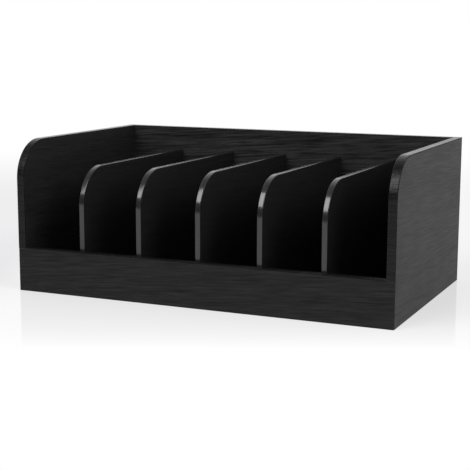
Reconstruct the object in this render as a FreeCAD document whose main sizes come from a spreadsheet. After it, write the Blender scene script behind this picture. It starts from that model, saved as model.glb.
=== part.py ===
import FreeCAD, Part
import math
import os
import Sketcher

# Belt storage box: an open-topped box of dark wood-grain boards with six compartments side by side.
# The frame: X across the width, the low front panel faces -Y, Z up.
# The origin is under the middle of the box, on the surface that it stands on.

# Driving sizes in millimetres
sizes = {
    "box_width": 326,
    "box_depth": 196,
    "box_height": 126,
    "wall_thickness": 7,
    "front_height": 37,
    "side_corner_radius": 32,
    "base_thickness": 4,
    "base_rebate": 3.5,             # how far the base reaches into each wall
    "divider_count": 5,
    "divider_thickness": 4.5,
    "divider_height": 105,          # top of a divider above the surface under the box
    "divider_corner_radius": 32,
    "housing_depth": 2,             # how far a divider reaches into the front and the back panel
    "floor_housing_depth": 1.5,     # how far it reaches into the base
    "housing_stop": 4,              # solid wood left above a groove of the front panel
    "corner_easing": 1,             # rounding of the four upright outer corners
    "band_thickness": 1,
    "band_easing": 0.6,             # rounding of the long outer edges of every edge band
    "spline_width": 5,
    "spline_thickness": 1.5,
    "brad_width": 1.2,
    "brad_thickness": 1,
    "brad_length": 16,
    "brad_point": 1.6,
    "brad_head_width": 2,
    "brad_head_thickness": 0.8,
    "brad_inset": 40,               # from a corner of the box to the nearest brad of a side panel
    "fit": 0.1,                     # clearance of a piece in its groove, rebate or hole
}

os.makedirs("parts", exist_ok=True)
doc = FreeCAD.newDocument("belt_storage_box")
sheet = doc.addObject("Spreadsheet::Sheet", "sizes")
for row, (name, value) in enumerate(sizes.items(), 1):
    sheet.set(f"A{row}", name)
    sheet.set(f"B{row}", str(value))
    sheet.setAlias(f"B{row}", name)
doc.recompute()

# Places that several pieces share, worked out from the sheet
half_width = "sizes.box_width / 2"
half_depth = "sizes.box_depth / 2"
inner_half_width = "(sizes.box_width / 2 - sizes.wall_thickness)"
inner_half_depth = "(sizes.box_depth / 2 - sizes.wall_thickness)"
base_half_width = f"({inner_half_width} + sizes.base_rebate)"
base_half_depth = f"({inner_half_depth} + sizes.base_rebate)"
front_core_height = "(sizes.front_height - sizes.band_thickness)"
wall_core_height = "(sizes.box_height - sizes.band_thickness)"
divider_core_height = "(sizes.divider_height - sizes.band_thickness)"
compartment_width = (f"((2 * {inner_half_width} - sizes.divider_count * sizes.divider_thickness)"
                     " / (sizes.divider_count + 1))")
pitch = f"({compartment_width} + sizes.divider_thickness)"
floor_of_housing = "(sizes.base_thickness - sizes.floor_housing_depth)"
top_of_front_housing = "(sizes.front_height - sizes.housing_stop)"
half_diagonal = "(sqrt(2) / 2)"
# how far a rounded upright corner falls short of a sharp one, along X and along Y
corner_cut = f"(sizes.corner_easing * (1 - {half_diagonal}))"

divider_numbers = range(1, sizes["divider_count"] + 1)
compartment_numbers = range(sizes["divider_count"] + 1)
touching = 1e-5                     # points nearer than this are taken as one


def value_of(expression):
    return float(sheet.evalExpression(expression.replace("sizes.", "")))


def divider_centre(number):
    return f"(-{inner_half_width} - sizes.divider_thickness / 2 + {number} * {pitch})"


def compartment_centre(number):
    return f"(-{inner_half_width} + {compartment_width} / 2 + {number} * {pitch})"


# Sketches and features

def new_body(label):
    body = doc.addObject("PartDesign::Body", label)
    body.Label = label
    return body


def new_sketch(body, name, plane, height=None):
    sketch = body.newObject("Sketcher::SketchObject", name)
    base_plane = next(part for part in body.Origin.OriginFeatures if part.Role == plane)
    sketch.AttachmentSupport = [(base_plane, "")]
    sketch.MapMode = "FlatFace"
    if height:
        sketch.setExpression("AttachmentOffset.Base.z", height)
    return sketch


# A closed outline through the given corners.
# rounds gives, for a stretch by its number, the radius and the centre of an arc that replaces it.
def draw_outline(sketch, corners, rounds={}):
    points = [FreeCAD.Vector(value_of(across), value_of(up), 0) for across, up in corners]
    following = points[1:] + points[:1]
    ends = []
    joins = []
    lengths = []
    for number, (start, end) in enumerate(zip(points, following)):
        if number not in rounds:
            curve = sketch.addGeometry(Part.LineSegment(start, end))
            ends.append((curve, 1, 2))
            continue
        radius, centre_across, centre_up = rounds[number]
        centre = FreeCAD.Vector(value_of(centre_across), value_of(centre_up), 0)
        middle = centre + ((start + end) / 2 - centre).normalize() * value_of(radius)
        curve = sketch.addGeometry(Part.Arc(start, middle, end))
        first_end = 1 if sketch.getPoint(curve, 1).distanceToPoint(start) < touching else 2
        ends.append((curve, first_end, 3 - first_end))
        lengths.append((Sketcher.Constraint("Radius", curve, value_of(radius)), radius))
    for number, (curve, first_end, last_end) in enumerate(ends):
        next_curve, next_first_end, _ = ends[(number + 1) % len(ends)]
        joins.append(Sketcher.Constraint("Coincident", curve, last_end, next_curve, next_first_end))
        for kind, place in zip(("DistanceX", "DistanceY"), corners[number]):
            lengths.append((Sketcher.Constraint(kind, curve, first_end, value_of(place)), place))
    sketch.addConstraint(joins)
    numbers = sketch.addConstraint([constraint for constraint, _ in lengths])
    for number, (_, expression) in zip(numbers, lengths):
        sketch.setExpression(f"Constraints[{number}]", expression)


def draw_rectangle(sketch, left, right, low, high):
    draw_outline(sketch, [(left, low), (right, low), (right, high), (left, high)])


# Slots for brads: each place has a centre and says whether the wide side of the brad lies along X.
def draw_slots(sketch, places, width):
    half_wide = f"({width} / 2 + sizes.fit)"
    half_thick = "(sizes.brad_thickness / 2 + sizes.fit)"
    for across, up, wide_along_x in places:
        reach_x, reach_y = (half_wide, half_thick) if wide_along_x else (half_thick, half_wide)
        draw_rectangle(sketch, f"{across} - {reach_x}", f"{across} + {reach_x}",
                       f"{up} - {reach_y}", f"{up} + {reach_y}")


def add_pad(body, sketch, length, both_ways=False):
    pad = body.newObject("PartDesign::Pad", f"{sketch.Name}_pad")
    pad.Profile = sketch
    pad.Midplane = both_ways
    pad.setExpression("Length", length)
    sketch.Visibility = False
    doc.recompute()
    return pad


# Without a length the cut runs right through; with one it runs up from the sketch.
def add_pocket(body, sketch, length=None):
    pocket = body.newObject("PartDesign::Pocket", f"{sketch.Name}_pocket")
    pocket.Profile = sketch
    if length:
        pocket.Reversed = True
        pocket.setExpression("Length", length)
    else:
        pocket.Type = "ThroughAll"
        pocket.Midplane = True
    doc.recompute()
    return pocket


def repeat_along_width(body, feature, copies):
    pattern = body.newObject("PartDesign::LinearPattern", f"{feature.Name}_row")
    pattern.Originals = [feature]
    x_axis = next(part for part in body.Origin.OriginFeatures if part.Role == "X_Axis")
    pattern.Direction = (x_axis, [""])
    pattern.setExpression("Length", f"({copies} - 1) * {pitch}")
    pattern.setExpression("Occurrences", copies)
    body.Tip = pattern
    doc.recompute()
    return pattern


# Rounds the long outer edges of an edge band, and the arcs by which they end at a rounded corner.
# is_outer says whether a point lies on the outer face; axis is the one that the long edges keep square to.
def ease_edges(body, feature, is_outer, axis):
    names = []
    for number, edge in enumerate(feature.Shape.Edges, 1):
        first, last = edge.ParameterRange
        points = [edge.valueAt(first), edge.valueAt((first + last) / 2), edge.valueAt(last)]
        is_arc = edge.Curve.TypeId == "Part::GeomCircle"
        is_long = abs(getattr(points[0], axis) - getattr(points[2], axis)) < touching
        if all(is_outer(point) for point in points) and (is_arc or is_long):
            names.append(f"Edge{number}")
    easing = body.newObject("PartDesign::Fillet", f"{feature.Name}_easing")
    easing.Base = (feature, names)
    easing.setExpression("Radius", "sizes.band_easing")
    body.Tip = easing
    doc.recompute()


# Grooves for the splines that lie across the mitres, and the cuts that all walls share

def spline_groove_corners(centre_across, centre_up, side, end):
    length = "(sizes.spline_width / 2 + sizes.fit)"
    width = "(sizes.spline_thickness / 2 + sizes.fit)"
    corners = []
    for along, beside in ((-1, -1), (1, -1), (1, 1), (-1, 1)):
        across = f"{centre_across} + {side} * ({along} * {length} + {beside} * {width}) * {half_diagonal}"
        up = f"{centre_up} + {end} * ({beside} * {width} - {along} * {length}) * {half_diagonal}"
        corners.append((across, up))
    return corners


def cut_spline_groove(body, name, centre_across, centre_up, side, end, top):
    sketch = new_sketch(body, name, "XY_Plane", "sizes.base_thickness")
    draw_outline(sketch, spline_groove_corners(centre_across, centre_up, side, end))
    add_pocket(body, sketch, f"{top} - sizes.base_thickness")


def cut_brad_holes(body, name, places):
    sketch = new_sketch(body, name, "XY_Plane", "sizes.base_thickness")
    draw_slots(sketch, places, "sizes.brad_width")
    add_pocket(body, sketch, "sizes.brad_length - sizes.base_thickness + sizes.fit")


# The plan of a mitred board or band: long outer face with rounded corners, short inner face
def draw_mitred_plan(sketch, outer, inner, end):
    eased_x = f"({half_width} - sizes.corner_easing)"
    cut_x = f"({half_width} - {corner_cut})"
    cut_y = f"{outer} - {end} * {corner_cut}"
    centre_y = f"{outer} - {end} * sizes.corner_easing"
    corners = [
        (f"-{eased_x}", outer),
        (eased_x, outer),
        (cut_x, cut_y),
        (inner_half_width, inner),
        (f"-{inner_half_width}", inner),
        (f"-{cut_x}", cut_y),
    ]
    rounds = {
        1: ("sizes.corner_easing", eased_x, centre_y),
        5: ("sizes.corner_easing", f"-{eased_x}", centre_y),
    }
    draw_outline(sketch, corners, rounds)


# What a mitre takes off a side board or band whose inner face lies on x = 0
def draw_side_mitre(sketch, end):
    outer = f"{end} * {half_depth}"
    eased_x = "(sizes.wall_thickness - sizes.corner_easing)"
    eased_y = f"{end} * ({half_depth} - sizes.corner_easing)"
    corners = [
        ("0", f"{end} * {inner_half_depth}"),
        (f"sizes.wall_thickness - {corner_cut}", f"{end} * ({half_depth} - {corner_cut})"),
        ("sizes.wall_thickness", eased_y),
        ("sizes.wall_thickness", outer),
        ("0", outer),
    ]
    draw_outline(sketch, corners, {1: ("sizes.corner_easing", eased_x, eased_y)})


# Front and back panels: full-width boards with mitred ends.
# end is -1 for the front and 1 for the back; grooves for the dividers stop below the board's top.

def make_cross_panel(label, end, core_height, top_of_housing):
    body = new_body(label)
    board = new_sketch(body, f"{label}_plan", "XY_Plane")
    outer = f"{end} * {half_depth}"
    inner = f"{end} * {inner_half_depth}"
    draw_mitred_plan(board, outer, inner, end)
    add_pad(body, board, core_height)

    rebate = new_sketch(body, f"{label}_rebate", "YZ_Plane")
    draw_rectangle(rebate, f"{end} * {base_half_depth}", inner, "0", "sizes.base_thickness")
    add_pocket(body, rebate)

    for side, hand in ((-1, "left"), (1, "right")):
        cut_spline_groove(body, f"{label}_{hand}_spline_groove",
                          f"{side} * ({half_width} - sizes.wall_thickness / 2)",
                          f"{end} * ({half_depth} - sizes.wall_thickness / 2)", side, end, core_height)

    brad_row = f"{end} * ({inner_half_depth} + sizes.base_rebate / 2)"
    cut_brad_holes(body, f"{label}_brad_holes",
                   [(compartment_centre(number), brad_row, True) for number in compartment_numbers])

    housing = new_sketch(body, f"{label}_housing", "XY_Plane", "sizes.base_thickness")
    half_groove = "(sizes.divider_thickness / 2 + sizes.fit)"
    draw_rectangle(housing, f"{divider_centre(1)} - {half_groove}", f"{divider_centre(1)} + {half_groove}",
                   inner, f"{end} * ({inner_half_depth} + sizes.housing_depth)")
    groove = add_pocket(body, housing, f"{top_of_housing} - sizes.base_thickness")
    repeat_along_width(body, groove, "sizes.divider_count")
    return body


# Side panels: the upper front corner is round.
# Above the front panel the board is square in front, below its top edge it turns into a mitre.
# The board is drawn with its inner face on the plane x = 0.

def side_outline():
    front = f"-{half_depth}"
    banded_front = f"-{half_depth} + sizes.band_thickness"
    centre_along = f"-{half_depth} + sizes.side_corner_radius"
    centre_up = "sizes.box_height - sizes.side_corner_radius"
    corners = [
        (front, "0"),
        (half_depth, "0"),
        (half_depth, wall_core_height),
        (centre_along, wall_core_height),
        (banded_front, centre_up),
        (banded_front, front_core_height),
        (front, front_core_height),
    ]
    rounds = {3: ("sizes.side_corner_radius - sizes.band_thickness", centre_along, centre_up)}
    return corners, rounds


def make_right_side_panel():
    label = "right_side_panel"
    body = new_body(label)
    body.setExpression("Placement.Base.x", inner_half_width)
    board = new_sketch(body, "side_outline", "YZ_Plane")
    draw_outline(board, *side_outline())
    add_pad(body, board, "sizes.wall_thickness")

    back_mitre = new_sketch(body, "side_back_mitre", "XY_Plane")
    draw_side_mitre(back_mitre, 1)
    add_pocket(body, back_mitre)
    front_mitre = new_sketch(body, "side_front_mitre", "XY_Plane")
    draw_side_mitre(front_mitre, -1)
    add_pocket(body, front_mitre, front_core_height)

    rebate = new_sketch(body, "side_rebate", "XZ_Plane")
    draw_rectangle(rebate, "0", "sizes.base_rebate", "0", "sizes.base_thickness")
    add_pocket(body, rebate)

    for end, place, top in ((-1, "front", front_core_height), (1, "back", wall_core_height)):
        cut_spline_groove(body, f"side_{place}_spline_groove", "sizes.wall_thickness / 2",
                          f"{end} * ({half_depth} - sizes.wall_thickness / 2)", 1, end, top)

    cut_brad_holes(body, "side_brad_holes",
                   [("sizes.base_rebate / 2", f"{end} * ({half_depth} - sizes.brad_inset)", False)
                    for end in (-1, 1)])
    return body


def mirrored(source, label):
    copy = doc.addObject("Part::Mirroring", label)
    copy.Label = label
    copy.Source = source
    copy.Base = FreeCAD.Vector(0, 0, 0)
    copy.Normal = FreeCAD.Vector(1, 0, 0)
    doc.recompute()
    return copy


# Base: let into a rebate round the walls, flush with their lower edges, and grooved for the dividers

def brad_places():
    places = []
    for end in (-1, 1):
        row = f"{end} * ({inner_half_depth} + sizes.base_rebate / 2)"
        places += [(compartment_centre(number), row, True) for number in compartment_numbers]
        column = f"{end} * ({inner_half_width} + sizes.base_rebate / 2)"
        places += [(column, f"{place} * ({half_depth} - sizes.brad_inset)", False) for place in (-1, 1)]
    return places


def make_base_panel():
    label = "base_panel"
    body = new_body(label)
    board = new_sketch(body, "base_plan", "XY_Plane")
    edge_x = f"({base_half_width} - sizes.fit)"
    edge_y = f"({base_half_depth} - sizes.fit)"
    draw_rectangle(board, f"-{edge_x}", edge_x, f"-{edge_y}", edge_y)
    add_pad(body, board, "sizes.base_thickness")

    holes = new_sketch(body, "base_brad_holes", "XY_Plane")
    draw_slots(holes, brad_places(), "sizes.brad_width")
    add_pocket(body, holes)
    sinks = new_sketch(body, "base_brad_sinks", "XY_Plane")
    draw_slots(sinks, brad_places(), "sizes.brad_head_width")
    add_pocket(body, sinks, "sizes.brad_head_thickness")

    housing = new_sketch(body, "base_housing", "XY_Plane", floor_of_housing)
    half_groove = "(sizes.divider_thickness / 2 + sizes.fit)"
    reach = f"({inner_half_depth} + sizes.housing_depth)"
    draw_rectangle(housing, f"{divider_centre(1)} - {half_groove}", f"{divider_centre(1)} + {half_groove}",
                   f"-{reach}", reach)
    groove = add_pocket(body, housing, "sizes.floor_housing_depth")
    repeat_along_width(body, groove, "sizes.divider_count")
    return body


# Dividers: thin boards with a round upper front corner.
# A haunch low in front and the whole back edge sit in grooves of the front and the back panel.

divider_front = f"(-{inner_half_depth} + sizes.fit)"
haunch_top = f"({top_of_front_housing} - sizes.fit)"


def divider_outline():
    reach = f"({inner_half_depth} + sizes.housing_depth - sizes.fit)"
    core_front = f"({divider_front} + sizes.band_thickness)"
    centre_along = f"{divider_front} + sizes.divider_corner_radius"
    centre_up = "sizes.divider_height - sizes.divider_corner_radius"
    corners = [
        (f"-{reach}", floor_of_housing),
        (reach, floor_of_housing),
        (reach, divider_core_height),
        (centre_along, divider_core_height),
        (core_front, centre_up),
        (core_front, haunch_top),
        (f"-{reach}", haunch_top),
    ]
    rounds = {3: ("sizes.divider_corner_radius - sizes.band_thickness", centre_along, centre_up)}
    return corners, rounds


def make_divider(number):
    body = new_body(f"divider_{number}")
    body.setExpression("Placement.Base.x", divider_centre(number))
    board = new_sketch(body, f"divider_{number}_outline", "YZ_Plane")
    draw_outline(board, *divider_outline())
    add_pad(body, board, "sizes.divider_thickness", both_ways=True)
    return body


# Edge bands: thin strips glued on every edge that shows.
# On a side panel or a divider the strip is bent round the corner, concentric with the board.

def bent_band_outline(front, back, low, top, radius):
    centre_along = f"{front} + {radius}"
    centre_up = f"{top} - {radius}"
    inside_top = f"{top} - sizes.band_thickness"
    inside_front = f"{front} + sizes.band_thickness"
    corners = [
        (inside_front, low),
        (inside_front, centre_up),
        (centre_along, inside_top),
        (back, inside_top),
        (back, top),
        (centre_along, top),
        (front, centre_up),
        (front, low),
    ]
    rounds = {
        1: (f"{radius} - sizes.band_thickness", centre_along, centre_up),
        5: (radius, centre_along, centre_up),
    }
    return corners, rounds


# Says whether a point lies on the outer face of a bent band, whatever its x.
def on_bent_face(front, top, radius):
    front_y = value_of(front)
    top_z = value_of(top)
    bend = value_of(radius)

    def is_outer(point):
        along = point.y - (front_y + bend)
        up = point.z - (top_z - bend)
        if along < 0 and up > 0:
            return abs(math.hypot(along, up) - bend) < touching
        return abs(point.y - front_y) < touching or abs(point.z - top_z) < touching

    return is_outer


def at_height(top):
    top_z = value_of(top)
    return lambda point: abs(point.z - top_z) < touching


def make_right_side_band():
    body = new_body("right_side_edge_band")
    body.setExpression("Placement.Base.x", inner_half_width)
    front = f"-{half_depth}"
    top = "sizes.box_height"
    radius = "sizes.side_corner_radius"
    strip = new_sketch(body, "side_band_outline", "YZ_Plane")
    draw_outline(strip, *bent_band_outline(front, half_depth, front_core_height, top, radius))
    add_pad(body, strip, "sizes.wall_thickness")
    mitre = new_sketch(body, "side_band_mitre", "XY_Plane")
    draw_side_mitre(mitre, 1)
    cut = add_pocket(body, mitre)
    ease_edges(body, cut, on_bent_face(front, top, radius), "x")
    return body


def make_divider_band(number):
    body = new_body(f"divider_{number}_edge_band")
    body.setExpression("Placement.Base.x", divider_centre(number))
    back = f"({inner_half_depth} - sizes.fit)"
    top = "sizes.divider_height"
    radius = "sizes.divider_corner_radius"
    strip = new_sketch(body, f"divider_{number}_band_outline", "YZ_Plane")
    draw_outline(strip, *bent_band_outline(divider_front, back, haunch_top, top, radius))
    pad = add_pad(body, strip, "sizes.divider_thickness", both_ways=True)
    ease_edges(body, pad, on_bent_face(divider_front, top, radius), "x")
    return body


# The front band fits between the side panels.
def make_front_band():
    label = "front_edge_band"
    body = new_body(label)
    strip = new_sketch(body, f"{label}_plan", "XY_Plane", front_core_height)
    reach = f"({inner_half_width} - sizes.fit)"
    draw_rectangle(strip, f"-{reach}", reach, f"-{half_depth}", f"-{inner_half_depth}")
    pad = add_pad(body, strip, "sizes.band_thickness")
    ease_edges(body, pad, at_height("sizes.front_height"), "y")
    return body


# The ends of the back band are mitred with the side bands.
def make_back_band():
    label = "back_edge_band"
    body = new_body(label)
    strip = new_sketch(body, f"{label}_plan", "XY_Plane", wall_core_height)
    draw_mitred_plan(strip, half_depth, inner_half_depth, 1)
    pad = add_pad(body, strip, "sizes.band_thickness")
    ease_edges(body, pad, at_height("sizes.box_height"), "y")
    return body


# Corner splines: thin strips glued across the middle of each mitre
def make_corner_spline(label, side, end, top):
    body = new_body(label)
    strip = new_sketch(body, f"{label}_section", "XY_Plane")
    half_length = "sizes.spline_width / 2"
    half_thickness = "sizes.spline_thickness / 2"
    draw_rectangle(strip, f"-{half_length}", half_length, f"-{half_thickness}", half_thickness)
    add_pad(body, strip, f"{top} - sizes.base_thickness - 2 * sizes.fit")
    turn = FreeCAD.Rotation(FreeCAD.Vector(0, 0, 1), -45 * side * end)
    body.Placement = FreeCAD.Placement(FreeCAD.Vector(0, 0, 0), turn)
    body.setExpression("Placement.Base.x", f"{side} * ({half_width} - sizes.wall_thickness / 2)")
    body.setExpression("Placement.Base.y", f"{end} * ({half_depth} - sizes.wall_thickness / 2)")
    body.setExpression("Placement.Base.z", "sizes.base_thickness + sizes.fit")
    return body


# Brads: flat-wire nails with a T-shaped head and a chisel point.
# They are driven up through the base into the walls, heads flush with the underside.
def make_base_brads():
    head_reach = value_of("sizes.brad_head_width") / 2
    shank_reach = value_of("sizes.brad_width") / 2
    thickness = value_of("sizes.brad_thickness")
    head = value_of("sizes.brad_head_thickness")
    length = value_of("sizes.brad_length")
    point_start = length - value_of("sizes.brad_point")
    profile = [(-head_reach, 0), (head_reach, 0), (head_reach, head), (shank_reach, head),
               (shank_reach, point_start), (0, length), (-shank_reach, point_start),
               (-shank_reach, head), (-head_reach, head), (-head_reach, 0)]
    outline = Part.makePolygon([FreeCAD.Vector(across, -thickness / 2, up) for across, up in profile])
    brad = Part.Face(outline).extrude(FreeCAD.Vector(0, thickness, 0))
    brads = []
    for across, along, wide_along_x in brad_places():
        copy = brad.copy()
        if not wide_along_x:
            copy.rotate(FreeCAD.Vector(0, 0, 0), FreeCAD.Vector(0, 0, 1), 90)
        copy.translate(FreeCAD.Vector(value_of(across), value_of(along), 0))
        brads.append(copy)
    group = doc.addObject("Part::Feature", "base_brads")
    group.Label = "base_brads"
    group.Shape = Part.makeCompound(brads)
    return group


# The whole box
right_side = make_right_side_panel()
right_side_band = make_right_side_band()
pieces = [
    make_base_panel(),
    make_cross_panel("front_panel", -1, front_core_height, top_of_front_housing),
    make_cross_panel("back_panel", 1, wall_core_height, f"({divider_core_height} + sizes.fit)"),
    right_side,
    mirrored(right_side, "left_side_panel"),
    right_side_band,
    mirrored(right_side_band, "left_side_edge_band"),
    make_front_band(),
    make_back_band(),
    make_corner_spline("front_left_spline", -1, -1, front_core_height),
    make_corner_spline("front_right_spline", 1, -1, front_core_height),
    make_corner_spline("back_left_spline", -1, 1, wall_core_height),
    make_corner_spline("back_right_spline", 1, 1, wall_core_height),
    make_base_brads(),
]
for number in divider_numbers:
    pieces.append(make_divider(number))
    pieces.append(make_divider_band(number))
doc.recompute()

# Every feature is sound, every cut removes wood, and every piece is whole
for item in doc.Objects:
    if "Invalid" in item.State or "Error" in item.State:
        raise RuntimeError(f"{item.Label} did not build: {item.State}")
    if item.TypeId == "PartDesign::Pocket":
        if item.Shape.Volume > item.BaseFeature.Shape.Volume - touching:
            raise RuntimeError(f"{item.Label} cuts nothing")
for piece in pieces:
    if piece.Shape.isNull() or not piece.Shape.isValid():
        raise RuntimeError(f"{piece.Label} has no sound shape")
    piece.Shape.exportStep(f"parts/{piece.Label}.step")
    print(f"{piece.Label}: {len(piece.Shape.Solids)} solid, {piece.Shape.Volume / 1000:.2f} cm3")
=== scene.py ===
import math

import bmesh
import bpy
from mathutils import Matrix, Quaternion, Vector


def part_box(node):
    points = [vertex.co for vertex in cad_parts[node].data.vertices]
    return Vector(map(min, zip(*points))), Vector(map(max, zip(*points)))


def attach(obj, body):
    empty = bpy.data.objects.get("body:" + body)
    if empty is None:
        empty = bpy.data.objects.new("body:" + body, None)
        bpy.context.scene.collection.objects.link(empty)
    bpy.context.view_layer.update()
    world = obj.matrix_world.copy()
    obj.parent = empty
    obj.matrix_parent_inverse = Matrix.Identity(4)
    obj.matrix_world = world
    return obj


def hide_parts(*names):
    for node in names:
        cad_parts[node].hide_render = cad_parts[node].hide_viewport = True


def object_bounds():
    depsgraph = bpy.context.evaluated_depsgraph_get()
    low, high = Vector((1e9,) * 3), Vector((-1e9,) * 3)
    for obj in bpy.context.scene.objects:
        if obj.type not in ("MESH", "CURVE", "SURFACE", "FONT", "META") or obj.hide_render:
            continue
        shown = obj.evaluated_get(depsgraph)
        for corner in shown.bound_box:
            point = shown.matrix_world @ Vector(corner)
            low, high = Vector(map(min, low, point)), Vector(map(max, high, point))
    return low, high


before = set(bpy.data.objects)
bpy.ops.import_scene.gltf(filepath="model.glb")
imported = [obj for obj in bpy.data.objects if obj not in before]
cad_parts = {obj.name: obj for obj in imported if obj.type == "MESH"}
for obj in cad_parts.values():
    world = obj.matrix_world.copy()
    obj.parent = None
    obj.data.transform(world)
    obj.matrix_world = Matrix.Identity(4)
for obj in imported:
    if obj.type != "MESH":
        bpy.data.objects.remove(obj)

# Belt storage box: black wood-grain boards, bent edge bands and five dividers.
# Lengths are in metres, +Z is up, and the low front of the box faces -Y.

mm = 0.001
pointGap = 0.001 * mm           # points of a node tree that are closer than this become one
noiseSpread = (0.3, 0.7)        # the stretch that a noise mostly fills
plainWhite = (1, 1, 1, 1)
cadLow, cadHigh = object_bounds()
print("frame loaded with", len(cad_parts), "nodes")

# Places on the box, read from the frame
frontLow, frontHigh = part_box("front_panel")
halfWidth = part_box("right_side_panel")[1].x
halfDepth = -frontLow.y
wall = frontHigh.y - frontLow.y
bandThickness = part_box("front_edge_band")[1].z - frontHigh.z
dividerNumbers = range(1, 1 + sum("divider" in name and "band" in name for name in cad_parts))


# Node trees: adds a node, and fills or links its sockets by name or number
def addNode(tree, kind, sockets={}, **settings):
    made = tree.nodes.new(kind)
    for name, value in settings.items():
        setattr(made, name, value)
    for name, value in sockets.items():
        if isinstance(value, bpy.types.NodeSocket):
            tree.links.new(value, made.inputs[name])
        else:
            made.inputs[name].default_value = value
    return made


def addMath(tree, operation, first, second=0.0, third=0.0):
    return addNode(tree, "ShaderNodeMath", {0: first, 1: second, 2: third}, operation=operation).outputs[0]


def addVectorMath(tree, operation, first, second):
    return addNode(tree, "ShaderNodeVectorMath", {0: first, 1: second}, operation=operation).outputs[0]


def addVector(tree, x=0.0, y=0.0, z=0.0):
    return addNode(tree, "ShaderNodeCombineXYZ", {"X": x, "Y": y, "Z": z}).outputs[0]


# A mix of two colours: 6, 7 and the output 2 are the node's colour sockets
def addMix(tree, share, first, second):
    return addNode(tree, "ShaderNodeMix", {0: share, 6: first, 7: second}, data_type="RGBA").outputs[2]


# Takes a value from one range to another, and holds it there
def addRange(tree, value, fromLow, fromHigh, toLow=0.0, toHigh=1.0, way="LINEAR"):
    return addNode(tree, "ShaderNodeMapRange", {"Value": value, "From Min": fromLow, "From Max": fromHigh,
                                                "To Min": toLow, "To Max": toHigh},
                   interpolation_type=way).outputs[0]


# inputs and outputs give the type of each socket and, where it has one, its value
def newTree(name, kind, inputs, outputs):
    tree = bpy.data.node_groups.new(name, kind)
    for inOut, sockets in (("INPUT", inputs), ("OUTPUT", outputs)):
        for label, (socketType, value) in sockets.items():
            socket = tree.interface.new_socket(label, in_out=inOut, socket_type="NodeSocket" + socketType)
            if value is not None:
                socket.default_value = value
    return tree, tree.nodes.new("NodeGroupInput").outputs, tree.nodes.new("NodeGroupOutput").inputs


def addGroup(tree, group, sockets):
    return addNode(tree, "ShaderNodeGroup", sockets, node_tree=group).outputs


def addNoise(tree, place, scale=1.0, **look):
    sockets = {name.capitalize(): value for name, value in look.items()}
    return addNode(tree, "ShaderNodeTexNoise", {"Vector": place, "Scale": scale, **sockets}).outputs[0]


# Wood grain pressed into the foil: long fine streaks, a slow figure in which they crowd, and short pores.
# The grain runs along X of the coordinates. Each pair is the stretch of a noise that is spread over 0 to 1.
grainShape = {
    "streaks": (0.34, 0.66),
    "figure": (0.35, 0.65),
    "pores": (0.62, 0.7),
    "poresCrowd": (0.2, 0.8),
    "streakShare": 0.75,
    "poreLightness": 0.3,
    "poreDepth": 0.8,
}


def makeGrainGroup():
    shape = grainShape
    tree, given, result = newTree(
        "woodGrain", "ShaderNodeTree",
        {"Coordinates": ("Vector", None),
         "Streak Length": ("Float", 29 * mm), "Streak Width": ("Float", 1.1 * mm),
         "Figure Length": ("Float", 160 * mm), "Figure Width": ("Float", 7 * mm),
         "Pore Length": ("Float", 6 * mm), "Pore Width": ("Float", 0.3 * mm)},
        {"Lightness": ("Float", None), "Relief": ("Float", None)})

    def stretched(length, width):
        along = addMath(tree, "DIVIDE", 1.0, given[length])
        across = addMath(tree, "DIVIDE", 1.0, given[width])
        return addVectorMath(tree, "MULTIPLY", given["Coordinates"], addVector(tree, along, across, across))

    streaks = addNoise(tree, stretched("Streak Length", "Streak Width"), detail=3.0, roughness=0.6)
    figure = addNoise(tree, stretched("Figure Length", "Figure Width"), detail=2.0, distortion=0.6)
    dashes = addNoise(tree, stretched("Pore Length", "Pore Width"), detail=1.0)
    streaks = addRange(tree, streaks, *shape["streaks"])
    figure = addRange(tree, figure, *shape["figure"])
    pores = addMath(tree, "MULTIPLY", addRange(tree, dashes, *shape["pores"]),
                    addRange(tree, figure, *shape["poresCrowd"]))
    figureShare = addMath(tree, "MULTIPLY", figure, 1 - shape["streakShare"])
    lightness = addMath(tree, "MULTIPLY_ADD", streaks, shape["streakShare"], figureShare)
    besidePores = addRange(tree, pores, 0.0, 1.0, 1.0, shape["poreLightness"])
    tree.links.new(addMath(tree, "MULTIPLY", lightness, besidePores), result["Lightness"])
    tree.links.new(addMath(tree, "MULTIPLY_ADD", pores, -shape["poreDepth"], streaks), result["Relief"])
    return tree


# Wear along the edges, where hands and shelves rub: up to 1 on an arris, 0 on the flat.
# Likeness is that of the rounded and the flat normal: 1 on the flat, less towards an arris.
wearShape = {
    "flatLikeness": 0.995,
    "arrisLikeness": 0.85,
    "patches": (0.35, 0.7),
    "leastShare": 0.25,
}


def makeWearGroup():
    shape = wearShape
    tree, given, result = newTree(
        "edgeWear", "ShaderNodeTree",
        {"Coordinates": ("Vector", None), "Reach": ("Float", 0.7 * mm), "Patch Size": ("Float", 14 * mm)},
        {"Wear": ("Float", None)})
    softened = addNode(tree, "ShaderNodeBevel", {"Radius": given["Reach"]}, samples=4).outputs[0]
    flat = addNode(tree, "ShaderNodeNewGeometry").outputs["Normal"]
    likeness = addNode(tree, "ShaderNodeVectorMath", {0: softened, 1: flat}, operation="DOT_PRODUCT")
    edge = addRange(tree, likeness.outputs["Value"], shape["flatLikeness"], shape["arrisLikeness"])
    scale = addMath(tree, "DIVIDE", 1.0, given["Patch Size"])
    patches = addNoise(tree, given["Coordinates"], scale, detail=4.0)
    patches = addRange(tree, patches, *shape["patches"], shape["leastShare"], 1.0)
    tree.links.new(addMath(tree, "MULTIPLY", edge, patches), result["Wear"])
    return tree


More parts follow.
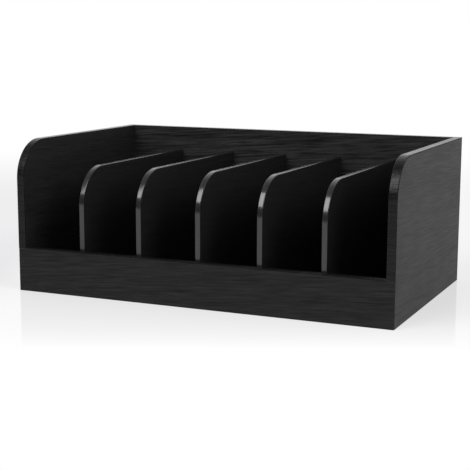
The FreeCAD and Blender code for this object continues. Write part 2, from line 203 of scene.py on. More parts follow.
# Faint marks of wiping and handling, which change only how rough a surface is
def makeHandlingGroup():
    tree, given, result = newTree(
        "handling", "ShaderNodeTree",
        {"Coordinates": ("Vector", None), "Mark Size": ("Float", 45 * mm)},
        {"Marks": ("Float", None)})
    scale = addMath(tree, "DIVIDE", 1.0, given["Mark Size"])
    noise = addNoise(tree, given["Coordinates"], scale, detail=5.0, roughness=0.65, distortion=0.8)
    tree.links.new(addRange(tree, noise, *noiseSpread, -1.0, 1.0), result["Marks"])
    return tree


grainGroup = makeGrainGroup()
wearGroup = makeWearGroup()
handlingGroup = makeHandlingGroup()
print("shader groups made")


def newMaterial(name):
    material = bpy.data.materials.new(name)
    material.use_nodes = True
    material.node_tree.nodes.clear()
    return material, material.node_tree


def addSurface(tree, sockets):
    shader = addNode(tree, "ShaderNodeBsdfPrincipled", sockets)
    addNode(tree, "ShaderNodeOutputMaterial", {"Surface": shader.outputs[0]})


# Object coordinates whose X runs along the grain of a board. The grain isn't quite level on the boards:
# on those across the box it rises to the right, and on the sides it drops to the back.
grainTilt = {"acrossBox": math.radians(4.5), "alongSides": math.radians(2.5)}


def placeBy(tree, rotation):
    place = addNode(tree, "ShaderNodeTexCoord").outputs["Object"]
    return addNode(tree, "ShaderNodeMapping", {"Vector": place, "Rotation": rotation}).outputs[0]


def placeOnBoard(tree):
    return placeBy(tree, (0, grainTilt["acrossBox"], 0))


def placeOnSideBoard(tree):
    return placeBy(tree, (grainTilt["alongSides"], 0, math.radians(-90)))


def placeOnStraightBand(tree):
    return placeBy(tree, (0, 0, 0))


# On a bent band the foil's lines run across it, so they are fine along its length.
def placeOnBentBand(tree):
    along = addNode(tree, "ShaderNodeAttribute", attribute_name="alongBand").outputs["Fac"]
    place = addNode(tree, "ShaderNodeTexCoord").outputs["Object"]
    across = addNode(tree, "ShaderNodeSeparateXYZ", {0: place}).outputs["X"]
    return addVector(tree, across, along)


# Black foil with pressed wood grain: the boards and edge bands of the walls, and the base
foilLook = {
    "darkTone": (0.005, 0.005, 0.0053, 1),
    "lightTone": (0.0208, 0.0208, 0.0215, 1),
    "wornTone": (0.03, 0.03, 0.031, 1),
    "roughness": 0.5,
    "grainRoughness": 0.08,
    "markRoughness": 0.015,
    "specularLevel": 0.135,
    "reliefHeight": 0.03 * mm,
    "reliefStrength": 0.6,
}


def makeFoil(name, placeOn, look, grainSizes={}):
    material, tree = newMaterial(name)
    place = placeOn(tree)
    grain = addGroup(tree, grainGroup, {"Coordinates": place, **grainSizes})
    wear = addGroup(tree, wearGroup, {"Coordinates": place})["Wear"]
    marks = addGroup(tree, handlingGroup, {"Coordinates": place})["Marks"]
    tone = addMix(tree, grain["Lightness"], look["darkTone"], look["lightTone"])
    roughness = addMath(tree, "MULTIPLY_ADD", grain["Lightness"], -look["grainRoughness"],
                        look["roughness"] + look["grainRoughness"] / 2)
    roughness = addMath(tree, "MULTIPLY_ADD", marks, look["markRoughness"], roughness)
    relief = addNode(tree, "ShaderNodeBump", {"Strength": look["reliefStrength"],
                                              "Distance": look["reliefHeight"], "Height": grain["Relief"]})
    addSurface(tree, {"Base Color": addMix(tree, wear, tone, look["wornTone"]), "Roughness": roughness,
                      "Specular IOR Level": look["specularLevel"], "Normal": relief.outputs[0]})
    return material


# The side boards come from a sheet with a finer and more even grain.
# The back board's grain is real, but its stronger contrast of dark and light streaks is painted shade and
# painted highlight, standing in for light raking across its relief.
sideLook = {**foilLook, "darkTone": (0.0056, 0.0056, 0.0059, 1), "lightTone": (0.021, 0.021, 0.0217, 1),
            "specularLevel": 0.12, "reliefStrength": 0.5}
sideGrain = {"Streak Width": 0.8 * mm, "Figure Width": 10 * mm}
backGrainAndPaintedShadeLook = {**foilLook, "darkTone": (0.001, 0.001, 0.0011, 1), "lightTone": (0.033, 0.033, 0.034, 1),
            "reliefStrength": 1.0}

# The edge bands of the walls are rolled smoother than the boards.
bandLook = {**foilLook, "darkTone": (0.0016, 0.0016, 0.00168, 1), "lightTone": (0.0082, 0.0082, 0.0085, 1),
            "roughness": 0.24, "grainRoughness": 0.14, "specularLevel": 0.19, "reliefHeight": 0.07 * mm,
            "reliefStrength": 1.0}
bentBandGrain = {"Streak Width": 1.7 * mm}

# Their trimmed sides show the dull black core of the strip.
trimmedLook = {**foilLook, "darkTone": (0.002, 0.002, 0.002, 1), "lightTone": (0.006, 0.006, 0.006, 1),
               "roughness": 0.5, "specularLevel": 0.05, "reliefStrength": 0.4}

# Thin black board of the dividers: nearly smooth, with a weak grain
dividerLook = {
    **foilLook,
    "darkTone": (0.007, 0.007, 0.0074, 1),
    "lightTone": (0.015, 0.015, 0.0156, 1),
    "roughness": 0.48,
    "grainRoughness": 0.06,
    "specularLevel": 0.15,
    "reliefStrength": 0.35,
}

# Smooth edging of the dividers: an extruded strip with faint lines along it
edgingLook = {
    "darkTone": (0.009, 0.0094, 0.0098, 1),
    "lightTone": (0.014, 0.0145, 0.015, 1),
    "lineLength": 60 * mm,
    "lineWidth": 0.25 * mm,
    "roughness": 0.15,
    "lineRoughness": 0.05,
    "markRoughness": 0.03,
    "markSize": 18 * mm,
    "specularLevel": 0.65,
    "reliefHeight": 0.006 * mm,
    "reliefStrength": 0.5,
}


def makeEdging():
    material, tree = newMaterial("smoothEdging")
    look = edgingLook
    place = addNode(tree, "ShaderNodeTexCoord").outputs["Object"]
    across = addNode(tree, "ShaderNodeSeparateXYZ", {0: place}).outputs["X"]
    along = addNode(tree, "ShaderNodeAttribute", attribute_name="alongBand").outputs["Fac"]
    strip = addVector(tree, addMath(tree, "DIVIDE", along, look["lineLength"]),
                      addMath(tree, "DIVIDE", across, look["lineWidth"]))
    lines = addRange(tree, addNoise(tree, strip, detail=2.0), *noiseSpread)
    marks = addGroup(tree, handlingGroup, {"Coordinates": place, "Mark Size": look["markSize"]})["Marks"]
    roughness = addMath(tree, "MULTIPLY_ADD", lines, look["lineRoughness"], look["roughness"])
    roughness = addMath(tree, "MULTIPLY_ADD", marks, look["markRoughness"], roughness)
    relief = addNode(tree, "ShaderNodeBump", {"Strength": look["reliefStrength"],
                                              "Distance": look["reliefHeight"], "Height": lines})
    addSurface(tree, {"Base Color": addMix(tree, lines, look["darkTone"], look["lightTone"]),
                      "Roughness": roughness, "Specular IOR Level": look["specularLevel"],
                      "Normal": relief.outputs[0]})
    return material


# Plywood of the corner splines: plies across the thickness, grain up the spline
plywoodLook = {
    "paleTone": (0.6, 0.43, 0.25, 1),
    "darkTone": (0.36, 0.23, 0.12, 1),
    "plyThickness": 0.5 * mm,
    "plyShare": 0.6,
    "streakLength": 14 * mm,
    "streakWidth": 0.4 * mm,
    "grainShare": 0.5,
    "roughness": 0.62,
    "plyRoughness": 0.08,
    "reliefHeight": 0.05 * mm,
    "turn": math.radians(45),       # the splines lie across the corners
}


def makePlywood():
    material, tree = newMaterial("plywood")
    look = plywoodLook
    place = placeBy(tree, (0, 0, look["turn"]))
    upright = {"Vector": place, "Rotation": (0, math.radians(90), 0)}
    grain = addGroup(tree, grainGroup, {
        "Coordinates": addNode(tree, "ShaderNodeMapping", upright).outputs[0],
        "Streak Length": look["streakLength"], "Streak Width": look["streakWidth"]})
    parts = addNode(tree, "ShaderNodeSeparateXYZ", {0: place}).outputs
    ply = addMath(tree, "PINGPONG", parts["Y"], look["plyThickness"])
    ply = addRange(tree, ply, 0.0, look["plyThickness"], 0.0, look["plyShare"])
    share = addMath(tree, "MULTIPLY_ADD", grain["Lightness"], look["grainShare"], ply)
    roughness = addRange(tree, share, 0.0, 1.0, look["roughness"] + look["plyRoughness"], look["roughness"])
    relief = addNode(tree, "ShaderNodeBump", {"Distance": look["reliefHeight"], "Height": grain["Relief"]})
    addSurface(tree, {"Base Color": addMix(tree, share, look["darkTone"], look["paleTone"]),
                      "Roughness": roughness, "Normal": relief.outputs[0]})
    return material


# Bright steel wire of the brads, with lines along the shank from drawing and a few dull patches
steelLook = {
    "brightTone": (0.56, 0.56, 0.57, 1),
    "dullTone": (0.3, 0.3, 0.31, 1),
    "lineWidth": 0.08 * mm,
    "lineLength": 4 * mm,
    "patchSize": 1.2 * mm,
    "patches": (0.4, 0.65),
    "patchMetallic": 0.85,
    "roughness": 0.3,
    "lineRoughness": 0.15,
}


def makeSteel():
    material, tree = newMaterial("bradSteel")
    look = steelLook
    place = addNode(tree, "ShaderNodeTexCoord").outputs["Object"]
    fine = 1 / look["lineWidth"]
    drawn = addVectorMath(tree, "MULTIPLY", place, (fine, fine, 1 / look["lineLength"]))
    lines = addRange(tree, addNoise(tree, drawn), *noiseSpread)
    patches = addRange(tree, addNoise(tree, place, 1 / look["patchSize"], detail=3.0), *look["patches"])
    addSurface(tree, {"Base Color": addMix(tree, patches, look["brightTone"], look["dullTone"]),
                      "Metallic": addRange(tree, patches, 0.0, 1.0, 1.0, look["patchMetallic"]),
                      "Roughness": addMath(tree, "MULTIPLY_ADD", lines, look["lineRoughness"],
                                           look["roughness"])})
    return material


materials = {
    "acrossBox": makeFoil("foilAcrossBox", placeOnBoard, foilLook),
    "acrossBackGrainAndPaintedShade": makeFoil("foilAcrossBackGrainAndPaintedShade", placeOnBoard, backGrainAndPaintedShadeLook),
    "alongSides": makeFoil("foilAlongSides", placeOnSideBoard, sideLook, sideGrain),
    "straightBand": makeFoil("foilOnStraightBand", placeOnStraightBand, bandLook),
    "bentBand": makeFoil("foilOnBentBand", placeOnBentBand, bandLook, bentBandGrain),
    "trimmedBand": makeFoil("trimmedBandSide", placeOnStraightBand, trimmedLook),
    "divider": makeFoil("dividerBoard", placeOnSideBoard, dividerLook),
    "edging": makeEdging(),
    "plywood": makePlywood(),
    "steel": makeSteel(),
}
print("materials made:", ", ".join(materials))


# Geometry Nodes: a curve through the given points, which may be sockets or plain places
def addPath(tree, points):
    line = addNode(tree, "GeometryNodeMeshLine", {"Count": len(points)})
    order = addNode(tree, "GeometryNodeInputIndex").outputs[0]
    choice = addNode(tree, "GeometryNodeIndexSwitch", data_type="VECTOR")
    for _ in points[2:]:        # a new switch has room for two
        choice.index_switch_items.new()
    tree.links.new(order, choice.inputs["Index"])
    for number, point in enumerate(points):
        if isinstance(point, bpy.types.NodeSocket):
            tree.links.new(point, choice.inputs[number + 1])
        else:
            choice.inputs[number + 1].default_value = point
    placed = addNode(tree, "GeometryNodeSetPosition",
                     {"Geometry": line.outputs[0], "Position": choice.outputs[0]}).outputs[0]
    return addNode(tree, "GeometryNodeMeshToCurve", {"Mesh": placed}).outputs[0]


def addJoin(tree, *parts):
    made = addNode(tree, "GeometryNodeJoinGeometry")
    for part in parts:
        tree.links.new(part, made.inputs[0])
    return made.outputs[0]


# Keeps a number at each point of a curve for later in the tree
def addCapture(tree, geometry, value):
    made = addNode(tree, "GeometryNodeCaptureAttribute", {"Geometry": geometry})
    made.capture_items.new("FLOAT", "kept")
    tree.links.new(value, made.inputs[1])
    return made.outputs[0], made.outputs[1]


# An edge band: a strip with two rounded outer edges that follows the edge of a board.
# The path lies on the outer face of the band; a mitre shears an end by so much along for each step across.
def makeBandTree():
    tree, given, result = newTree(
        "edgeBand", "GeometryNodeTree",
        {"Path Start": ("Vector", None), "Path Corner": ("Vector", None), "Path End": ("Vector", None),
         "Across": ("Vector", (1, 0, 0)), "Bend Radius": ("Float", 32 * mm), "Bend Steps": ("Int", 40),
         "Width": ("Float", 7 * mm), "Thickness": ("Float", 1 * mm),
         "Edge Rounding": ("Float", 0.6 * mm), "Rounding Steps": ("Int", 4),
         "Start Mitre": ("Float", 0.0), "End Mitre": ("Float", 0.0), "Material": ("Material", None)},
        {"Geometry": ("Geometry", None)})

    path = addPath(tree, [given["Path Start"], given["Path Corner"], given["Path End"]])
    path = addNode(tree, "GeometryNodeFilletCurve", {"Curve": path, "Radius": given["Bend Radius"],
                                                     "Count": given["Bend Steps"]}, mode="POLY").outputs[0]
    path = addNode(tree, "GeometryNodeSetCurveNormal", {"Curve": path, "Normal": given["Across"]},
                   mode="FREE").outputs[0]
    length = addNode(tree, "GeometryNodeSplineParameter").outputs["Length"]
    path, along = addCapture(tree, path, length)
    firstEnd = addNode(tree, "GeometryNodeCurveEndpointSelection", {"Start Size": 1, "End Size": 0})
    path, atStart = addCapture(tree, path, firstEnd.outputs[0])
    lastEnd = addNode(tree, "GeometryNodeCurveEndpointSelection", {"Start Size": 0, "End Size": 1})
    path, atEnd = addCapture(tree, path, lastEnd.outputs[0])

    half = addMath(tree, "MULTIPLY", given["Width"], 0.5)
    otherHalf = addMath(tree, "MULTIPLY", given["Width"], -0.5)
    section = addPath(tree, [addVector(tree, half, given["Thickness"]), addVector(tree, half),
                             addVector(tree, otherHalf), addVector(tree, otherHalf, given["Thickness"])])
    section = addNode(tree, "GeometryNodeSetSplineCyclic", {"Geometry": section, "Cyclic": True}).outputs[0]
    place = addNode(tree, "GeometryNodeInputPosition").outputs[0]
    parts = addNode(tree, "ShaderNodeSeparateXYZ", {0: place}).outputs
    isOuter = addMath(tree, "LESS_THAN", parts["Y"], addMath(tree, "MULTIPLY", given["Thickness"], 0.5))
    section = addNode(tree, "GeometryNodeFilletCurve",
                      {"Curve": section, "Radius": addMath(tree, "MULTIPLY", isOuter, given["Edge Rounding"]),
                       "Count": given["Rounding Steps"]}, mode="POLY").outputs[0]
    section, across = addCapture(tree, section, parts["X"])

    def mitreShift(start, end, isAtEnd, mitre):
        way = addVectorMath(tree, "SUBTRACT", given[end], given[start])
        way = addNode(tree, "ShaderNodeVectorMath", {0: way}, operation="NORMALIZE").outputs[0]
        shear = addMath(tree, "MULTIPLY", addMath(tree, "MULTIPLY", isAtEnd, given[mitre]), across)
        return addNode(tree, "ShaderNodeVectorMath", {0: way, "Scale": shear}, operation="SCALE").outputs[0]

    shift = addVectorMath(tree, "ADD", mitreShift("Path Start", "Path Corner", atStart, "Start Mitre"),
                          mitreShift("Path Corner", "Path End", atEnd, "End Mitre"))
    strip = addNode(tree, "GeometryNodeCurveToMesh",
                    {"Curve": path, "Profile Curve": section, "Fill Caps": True}).outputs[0]
    strip = addNode(tree, "GeometryNodeSetPosition", {"Geometry": strip, "Offset": shift}).outputs[0]
    strip = addNode(tree, "GeometryNodeMergeByDistance", {"Geometry": strip, "Distance": pointGap}).outputs[0]
    strip = addNode(tree, "GeometryNodeStoreNamedAttribute",
                    {"Geometry": strip, "Name": "alongBand", "Value": along}).outputs[0]
    strip = addNode(tree, "GeometryNodeRealizeInstances", {"Geometry": strip}).outputs[0]
    strip = addNode(tree, "GeometryNodeSetMaterial", {"Geometry": strip, "Material": given["Material"]})
    tree.links.new(strip.outputs[0], result["Geometry"])
    return tree


# Runs a tree once and keeps its result as a plain mesh.
def buildByNodes(pieceName, tree, values):
    piece = bpy.data.objects.new(pieceName, bpy.data.meshes.new(pieceName))
    bpy.context.scene.collection.objects.link(piece)
    builder = piece.modifiers.new("builder", "NODES")
    builder.node_group = tree
    for socket in tree.interface.items_tree:
        if socket.in_out == "INPUT" and socket.name in values:
            builder[socket.identifier] = values[socket.name]
    plain = bpy.data.meshes.new_from_object(piece.evaluated_get(bpy.context.evaluated_depsgraph_get()))
    piece.modifiers.remove(builder)
    piece.data = plain
    plain.name = pieceName
    return piece


finish = {"sharpFrom": math.radians(35), "mergeWithin": 0.002 * mm}


# Turns a piece's faces outwards and keeps its flats flat beside rounded edges.
def finishPiece(piece, nodeName):
    work = bmesh.new()
    work.from_mesh(piece.data)
    bmesh.ops.recalc_face_normals(work, faces=work.faces)
    work.to_mesh(piece.data)
    work.free()
    piece.data.shade_smooth()
    piece.data.set_sharp_from_angle(angle=finish["sharpFrom"])
    flats = piece.modifiers.new("flats", "WEIGHTED_NORMAL")
    flats.keep_sharp = True
    plain = bpy.data.meshes.new_from_object(piece.evaluated_get(bpy.context.evaluated_depsgraph_get()))
    piece.modifiers.remove(flats)
    piece.data = plain
    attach(piece, "root")
    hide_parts(nodeName)


bandTree = makeBandTree()

# The trimmed sides of a wall's band begin where its rounding has turned this far from its face.
trimmedSide = {"turnedFrom": math.radians(50)}
uprightCorner = {"radius": 1 * mm, "steps": 4}


# Gives the trimmed sides their own material. axis is the one across the band: 0 for X, 1 for Y.
def paintTrimmedSides(piece, axis):
    piece.data.materials.append(materials["trimmedBand"])
    for face in piece.data.polygons:
        if abs(face.normal[axis]) > math.sin(trimmedSide["turnedFrom"]):
            face.material_index = 1


# Rounds the upright outer corners where mitred bands meet, as the boards under them are.
# Each band has its half of the rounding. axis is the one that it runs along: 0 for X, 1 for Y.
def roundUprightCorners(piece, axis):
    radius = uprightCorner["radius"]
    centre = (halfWidth - radius, halfDepth - radius)
    work = bmesh.new()
    work.from_mesh(piece.data)
    for step in range(uprightCorner["steps"]):
        reach = centre[axis] + radius * math.sin(math.radians(45) * step / uprightCorner["steps"])
        for side in (-1, 1):
            cut = Vector((0, 0, 0))
            cut[axis] = side
            bmesh.ops.bisect_plane(work, geom=work.verts[:] + work.edges[:] + work.faces[:],
                                   plane_co=cut * reach, plane_no=cut)
    for corner in work.verts:
        over = Vector((abs(corner.co.x) - centre[0], corner.co.y - centre[1]))
        if min(over) > 0 and over.length > radius:
            over = over.normalized() * radius
            corner.co.x = math.copysign(centre[0] + over.x, corner.co.x)
            corner.co.y = centre[1] + over.y
    work.to_mesh(piece.data)
    work.free()


# Edge bands of the side panels and the dividers: up the front, round the corner and back along the top
bentBand = {"Bend Radius": 32 * mm, "Bend Steps": 44, "Edge Rounding": 0.6 * mm, "Rounding Steps": 4}


def makeBentBand(nodeName, pieceName, material, mitre=0.0):
    low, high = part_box(nodeName)
    middle = (low.x + high.x) / 2
    back = halfDepth - wall / 2 if mitre else high.y
    piece = buildByNodes(pieceName, bandTree, {
        **bentBand, "Path Start": (middle, low.y, low.z), "Path Corner": (middle, low.y, high.z),
        "Path End": (middle, back, high.z), "Across": (1, 0, 0), "Width": high.x - low.x,
        "Thickness": bandThickness, "End Mitre": mitre, "Material": material})
    if mitre:
        roundUprightCorners(piece, 1)
        paintTrimmedSides(piece, 0)
    finishPiece(piece, nodeName)


for side, mitre in (("left", -1.0), ("right", 1.0)):
    makeBentBand(f"{side}_side_edge_band", f"{side}SideBand", materials["bentBand"],
                 mitre)
for number in dividerNumbers:
    makeBentBand(f"divider_{number}_edge_band", f"dividerBand{number}", materials["edging"])
print("bent edge bands made")

# Straight edge bands: the front one lies between the side panels, the back one is mitred with the side bands
straightBand = {"Bend Radius": 0.0, "Edge Rounding": 0.6 * mm, "Rounding Steps": 4}


def makeStraightBand(nodeName, pieceName, isMitred):
    low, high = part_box(nodeName)
    middle = (low.y + high.y) / 2
    reach = halfWidth - wall / 2 if isMitred else high.x
    mitre = 1.0 if isMitred else 0.0
    piece = buildByNodes(pieceName, bandTree, {
        **straightBand, "Path Start": (-reach, middle, high.z), "Path Corner": (0, middle, high.z),
        "Path End": (reach, middle, high.z), "Across": (0, -1, 0), "Width": high.y - low.y,
        "Thickness": bandThickness, "Start Mitre": mitre, "End Mitre": -mitre,
        "Material": materials["straightBand"]})
    if isMitred:
        roundUprightCorners(piece, 0)
    paintTrimmedSides(piece, 1)
    finishPiece(piece, nodeName)


makeStraightBand("front_edge_band", "frontBand", False)
makeStraightBand("back_edge_band", "backBand", True)
print("straight edge bands made")

# Boards of the walls: a merged copy of the node, with its lower arrises and its mitre seams softened
softening = {"arris": 0.3 * mm, "seam": 0.1 * mm, "steps": 2, "touching": 0.01 * mm,
             "sharpFrom": math.radians(30), "flatWithin": math.radians(0.3)}
cornerCut = uprightCorner["radius"] * (1 - math.sqrt(0.5))      # from a sharp corner to the rounded one


def isLowerArris(place):
    isOutside = (abs(place.x) > halfWidth - cornerCut - softening["touching"]
                 or abs(place.y) > halfDepth - cornerCut - softening["touching"])
    return isOutside and place.z < softening["touching"]


def isMitreSeam(place):
    return (abs(abs(place.x) - halfWidth + cornerCut) < softening["touching"]
            and abs(abs(place.y) - halfDepth + cornerCut) < softening["touching"])


def softenEdges(work, isChosen, width):
    chosen = [edge for edge in work.edges
              if edge.is_manifold and edge.calc_face_angle() > softening["sharpFrom"]
              and all(isChosen(corner.co) for corner in edge.verts)]
    bmesh.ops.bevel(work, geom=chosen, offset=width, offset_type="OFFSET", segments=softening["steps"],
                    profile=0.5, affect="EDGES", clamp_overlap=False)


def makeBoard(nodeName, pieceName, material):
    piece = bpy.data.objects.new(pieceName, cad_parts[nodeName].data.copy())
    bpy.context.scene.collection.objects.link(piece)
    work = bmesh.new()
    work.from_mesh(piece.data)
    bmesh.ops.remove_doubles(work, verts=work.verts, dist=finish["mergeWithin"])
    bmesh.ops.dissolve_limit(work, angle_limit=softening["flatWithin"], verts=work.verts, edges=work.edges)
    softenEdges(work, isLowerArris, softening["arris"])
    softenEdges(work, isMitreSeam, softening["seam"])
    work.to_mesh(piece.data)
    work.free()
    piece.data.materials.clear()
    piece.data.materials.append(material)
    finishPiece(piece, nodeName)


for nodeName, pieceName, material in (("front_panel", "frontBoard", "acrossBox"),
                                      ("back_panel", "backBoard", "acrossBackGrainAndPaintedShade"),
                                      ("left_side_panel", "leftSideBoard", "alongSides"),
                                      ("right_side_panel", "rightSideBoard", "alongSides")):
    makeBoard(nodeName, pieceName, materials[material])
print("wall boards made")

# Brads: flat-wire nails with a T-shaped head and a chisel point, in rows round the base
brads = {"Length": 16 * mm, "Point Length": 1.6 * mm, "Shank Width": 1.2 * mm, "Thickness": 1 * mm,
         "Head Width": 2 * mm, "Head Thickness": 0.8 * mm}
bradInset = 40 * mm     # from a corner of the box to the nearest brad of a side panel


def makeBradTree():
    tree, given, result = newTree(
        "brads", "GeometryNodeTree",
        {**{name: ("Float", value) for name, value in brads.items()},
         "Row Start": ("Vector", None), "Row Step": ("Vector", None), "Row Count": ("Int", 6),
         "Column Start": ("Vector", None), "Column Step": ("Vector", None), "Column Count": ("Int", 2),
         "Material": ("Material", None)},
        {"Geometry": ("Geometry", None)})
    head = addMath(tree, "MULTIPLY", given["Head Width"], 0.5)
    shank = addMath(tree, "MULTIPLY", given["Shank Width"], 0.5)
    pointStart = addMath(tree, "SUBTRACT", given["Length"], given["Point Length"])
    rightHalf = [(head, 0.0), (head, given["Head Thickness"]), (shank, given["Head Thickness"]),
                 (shank, pointStart)]
    leftHalf = [(addMath(tree, "MULTIPLY", across, -1.0), up) for across, up in reversed(rightHalf)]
    corners = rightHalf + [(0.0, given["Length"])] + leftHalf
    outline = addPath(tree, [addVector(tree, across, up) for across, up in corners])
    outline = addNode(tree, "GeometryNodeSetSplineCyclic", {"Geometry": outline, "Cyclic": True}).outputs[0]
    face = addNode(tree, "GeometryNodeFillCurve", {"Curve": outline}, mode="NGONS").outputs[0]
    depth = addVector(tree, 0.0, 0.0, given["Thickness"])
    raised = addNode(tree, "GeometryNodeExtrudeMesh", {"Mesh": face, "Offset": depth, "Offset Scale": 1.0,
                                                       "Individual": False}, mode="FACES").outputs[0]
    otherFace = addNode(tree, "GeometryNodeFlipFaces", {"Mesh": face}).outputs[0]
    body = addJoin(tree, raised, otherFace)
    body = addNode(tree, "GeometryNodeMergeByDistance", {"Geometry": body, "Distance": pointGap}).outputs[0]
    middle = addVector(tree, 0.0, addMath(tree, "MULTIPLY", given["Thickness"], 0.5))
    brad = addNode(tree, "GeometryNodeTransform", {"Geometry": body, "Translation": middle,
                                                   "Rotation": (math.radians(90), 0, 0)}).outputs[0]
    groups = []
    for line, mirror, turn in (("Row", (1, -1, 1), 0), ("Column", (-1, 1, 1), math.radians(90))):
        places = addNode(tree, "GeometryNodeMeshLine",
                         {"Count": given[f"{line} Count"], "Start Location": given[f"{line} Start"],
                          "Offset": given[f"{line} Step"]}, mode="OFFSET").outputs[0]
        opposite = addNode(tree, "GeometryNodeTransform", {"Geometry": places, "Scale": mirror}).outputs[0]
        groups.append(addNode(tree, "GeometryNodeInstanceOnPoints",
                              {"Points": addJoin(tree, places, opposite), "Instance": brad,
                               "Rotation": (0, 0, turn)}).outputs[0])
    solid = addNode(tree, "GeometryNodeRealizeInstances", {"Geometry": addJoin(tree, *groups)}).outputs[0]
    solid = addNode(tree, "GeometryNodeSetMaterial", {"Geometry": solid, "Material": given["Material"]})
    tree.links.new(solid.outputs[0], result["Geometry"])
    return tree


def makeBrads():
    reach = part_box("base_brads")[1]
    rowY = reach.y - brads["Thickness"] / 2
    columnX = reach.x - brads["Thickness"] / 2
    first, second = (sum(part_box(f"divider_{number}"), Vector()) / 2 for number in (1, 2))
    pitch = second.x - first.x
    compartments = len(dividerNumbers) + 1
    piece = buildByNodes("brads", makeBradTree(), {
        **brads, "Row Start": (first.x - pitch / 2, rowY, 0), "Row Step": (pitch, 0, 0),
        "Row Count": compartments, "Column Start": (columnX, -halfDepth + bradInset, 0),
        "Column Step": (0, 2 * (halfDepth - bradInset), 0), "Column Count": 2,
        "Material": materials["steel"]})
    finishPiece(piece, "base_brads")


makeBrads()
print("brads made")

# Nodes whose shape is kept take their finish only
keptFinishes = {"base_panel": "acrossBox", "spline": "plywood", "divider": "divider"}
for nodeName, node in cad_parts.items():
    for word, material in keptFinishes.items():
        if word in nodeName and not node.hide_render:
            node.data.materials.clear()
            node.data.materials.append(materials[material])
print("kept nodes finished")

# Pale studio floor: it shows the box's shade and a weak reflection, and turns to plain white in front of the
# box and further out.
# Its grey zone to the left of and behind the box is painted shade: a mask keeps more of the lit grey floor
# there, and less on the right.
# A hole under the box lets the underside be seen from below.
# Across and front are counted from the middle of the box, as the camera sees them.
floorLook = {
    "size": 4.0,                    # from the middle to each side
    "holeInset": 1.5 * mm,
    "tone": (0.702, 0.69, 0.715, 1),
    "otherTone": (0.672, 0.66, 0.685, 1),
    "speckle": 30 * mm,
    "roughness": 0.05,
    # Shares of the lit grey floor kept instead of plain white: painted shade, stronger on the left of the box
    "paintedShadeShareLeft": 0.88,
    "paintedShadeShare": 0.44,
    "leftUpTo": -0.24,
    "rightFrom": -0.18,
    "whiteInFront": 0.207,
    "frontFadeFrom": -0.11,
    "frontFadePower": 6.0,
    "fadeFrom": 0.5,
    "fadeTo": 1.3,
}


def addSeen(tree):
    rays = addNode(tree, "ShaderNodeLightPath").outputs
    seen = addMath(tree, "MAXIMUM", rays["Is Camera Ray"], rays["Is Glossy Ray"])
    return addMath(tree, "MAXIMUM", seen, rays["Is Transmission Ray"])


def makeFloor():
    look = floorLook
    material, tree = newMaterial("studioFloor")
    place = addNode(tree, "ShaderNodeTexCoord").outputs["Object"]
    noise = addNoise(tree, place, 1 / look["speckle"], detail=3.0)
    paint = addNode(tree, "ShaderNodeBsdfPrincipled",
                    {"Base Color": addMix(tree, noise, look["tone"], look["otherTone"]),
                     "Roughness": look["roughness"]}).outputs[0]
    white = addNode(tree, "ShaderNodeEmission", {"Color": plainWhite, "Strength": 1.0}).outputs[0]
    turned = addNode(tree, "ShaderNodeMapping",
                     {"Vector": place, "Rotation": (0, 0, -math.radians(viewpoint["azimuth"]))}).outputs[0]
    parts = addNode(tree, "ShaderNodeSeparateXYZ", {0: turned}).outputs
    # Painted shade: more of the lit grey floor is kept on the left of the box than on the right, fading to
    # plain white in front and further out.
    paintedShadeShare = addRange(tree, parts["X"], look["leftUpTo"], look["rightFrom"],
                          look["paintedShadeShareLeft"], look["paintedShadeShare"], "SMOOTHSTEP")
    front = addRange(tree, parts["Y"], -look["frontFadeFrom"], -look["whiteInFront"])
    front = addMath(tree, "SUBTRACT", 1.0, addMath(tree, "POWER", front, look["frontFadePower"]))
    distance = addNode(tree, "ShaderNodeVectorMath", {0: place}, operation="LENGTH").outputs["Value"]
    further = addRange(tree, distance, look["fadeFrom"], look["fadeTo"], 1.0, 0.0, "SMOOTHSTEP")
    paintedShadeShare = addMath(tree, "MULTIPLY", paintedShadeShare, addMath(tree, "MULTIPLY", front, further))
    share = addMath(tree, "MULTIPLY", addMath(tree, "SUBTRACT", 1.0, paintedShadeShare), addSeen(tree))
    shown = addNode(tree, "ShaderNodeMixShader", {0: share, 1: paint, 2: white}).outputs[0]
    clear = addNode(tree, "ShaderNodeBsdfTransparent").outputs[0]
    isBehind = addNode(tree, "ShaderNodeNewGeometry").outputs["Backfacing"]
    surface = addNode(tree, "ShaderNodeMixShader", {0: isBehind, 1: shown, 2: clear}).outputs[0]
    addNode(tree, "ShaderNodeOutputMaterial", {"Surface": surface})

    work = bmesh.new()
    corners = ((-1, -1), (1, -1), (1, 1), (-1, 1))
    hole = (halfWidth - look["holeInset"], halfDepth - look["holeInset"])
    rim = (look["size"], look["size"])
    inner, outer = ([work.verts.new((x * reachX, y * reachY, 0)) for x, y in corners]
                    for reachX, reachY in (hole, rim))
    for number in range(len(corners)):
        following = (number + 1) % len(corners)
        work.faces.new((inner[number], outer[number], outer[following], inner[following]))
    mesh = bpy.data.meshes.new("studioFloor")
    bmesh.ops.recalc_face_normals(work, faces=work.faces)
    work.to_mesh(mesh)
    work.free()
    mesh.materials.append(material)
    floor = bpy.data.objects.new("studioFloor", mesh)
    bpy.context.scene.collection.objects.link(floor)
    print("floor normals point to z", round(mesh.polygons[0].normal.z))


# Studio light: an even pale room, a softbox high in front on the left and a weaker one on the right.
# Reflections see white behind the box, a dim ceiling, and the dark half of the room in front of it.
# Tones are shares of white. The bounds are heights, or depths behind the box, in a room of radius 1.
# A softbox's distance is from the middle of the box, and its radiance is that of its face, with white as 1.
room = {
    "strength": 0.65,
    "ceilingTone": 0.3,
    "darkTone": 0.06,
    "darkUpTo": 0.25,
    "ceilingFrom": 0.7,
    "behindFrom": 0.15,
    "whiteFrom": 0.8,
}
softboxes = {
    "softbox": {"direction": (-0.28, -0.65, 0.69), "distance": 1.6, "size": (0.8, 1.05), "radiance": 6.0},
    "fillBox": {"direction": (0.78, -0.3, 0.55), "distance": 1.6, "size": (0.8, 0.8), "radiance": 4.4},
}


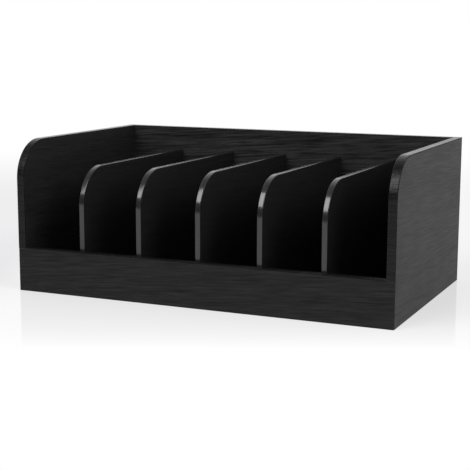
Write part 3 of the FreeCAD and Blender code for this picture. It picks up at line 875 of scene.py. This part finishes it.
def makeLight():
    world = bpy.data.worlds.new("studioRoom")
    world.use_nodes = True
    tree = world.node_tree
    tree.nodes.clear()
    way = addNode(tree, "ShaderNodeTexCoord").outputs["Generated"]
    parts = addNode(tree, "ShaderNodeSeparateXYZ", {0: way}).outputs
    tone = addRange(tree, parts["Z"], room["darkUpTo"], room["ceilingFrom"],
                    room["darkTone"], room["ceilingTone"])
    isBehind = addRange(tree, parts["Y"], room["behindFrom"], room["whiteFrom"], way="SMOOTHSTEP")
    mirrored = addMix(tree, isBehind, addVector(tree, tone, tone, tone), plainWhite)
    rays = addNode(tree, "ShaderNodeLightPath").outputs
    tones = addMix(tree, rays["Is Glossy Ray"], plainWhite, mirrored)
    lit = addNode(tree, "ShaderNodeBackground", {"Color": plainWhite, "Strength": room["strength"]})
    seen = addNode(tree, "ShaderNodeBackground", {"Color": tones, "Strength": 1.0})
    both = addNode(tree, "ShaderNodeMixShader", {0: addSeen(tree), 1: lit.outputs[0], 2: seen.outputs[0]})
    addNode(tree, "ShaderNodeOutputWorld", {"Surface": both.outputs[0]})
    bpy.context.scene.world = world

    for name, box in softboxes.items():
        lamp = bpy.data.lights.new(name, "AREA")
        lamp.shape = "RECTANGLE"
        lamp.size, lamp.size_y = box["size"]
        lamp.energy = box["radiance"] * math.pi * lamp.size * lamp.size_y
        holder = bpy.data.objects.new(name, lamp)
        direction = Vector(box["direction"]).normalized()
        holder.location = Vector((0, 0, cadHigh.z / 2)) + direction * box["distance"]
        holder.rotation_euler = direction.to_track_quat("Z", "Y").to_euler()
        holder.visible_camera = False
        bpy.context.scene.collection.objects.link(holder)


# Camera at the photograph's angle: it looks at a point near the middle of the box.
viewpoint = {"azimuth": 24.03, "elevation": 9.83, "roll": 0.16, "distance": 1000 * mm,
             "target": (-8.2 * mm, 0, 43 * mm), "focalLength": 89.1, "sensorWidth": 36,
             "clipStart": 50 * mm}


def makeCamera():
    azimuth, elevation = (math.radians(viewpoint[name]) for name in ("azimuth", "elevation"))
    back = Vector((math.sin(azimuth) * math.cos(elevation), -math.cos(azimuth) * math.cos(elevation),
                   math.sin(elevation)))
    lens = bpy.data.cameras.new("photoCamera")
    lens.sensor_width = viewpoint["sensorWidth"]
    lens.lens = viewpoint["focalLength"]
    lens.clip_start = viewpoint["clipStart"]
    camera = bpy.data.objects.new("photoCamera", lens)
    camera.rotation_mode = "QUATERNION"
    roll = Quaternion((0, 0, 1), math.radians(viewpoint["roll"]))
    camera.rotation_quaternion = (-back).to_track_quat("-Z", "Y") @ roll
    camera.location = Vector(viewpoint["target"]) + back * viewpoint["distance"]
    bpy.context.scene.collection.objects.link(camera)
    bpy.context.scene.camera = camera


makeFloor()
makeLight()
makeCamera()
bpy.context.scene.view_settings.view_transform = "Standard"
print("floor, light and camera made")
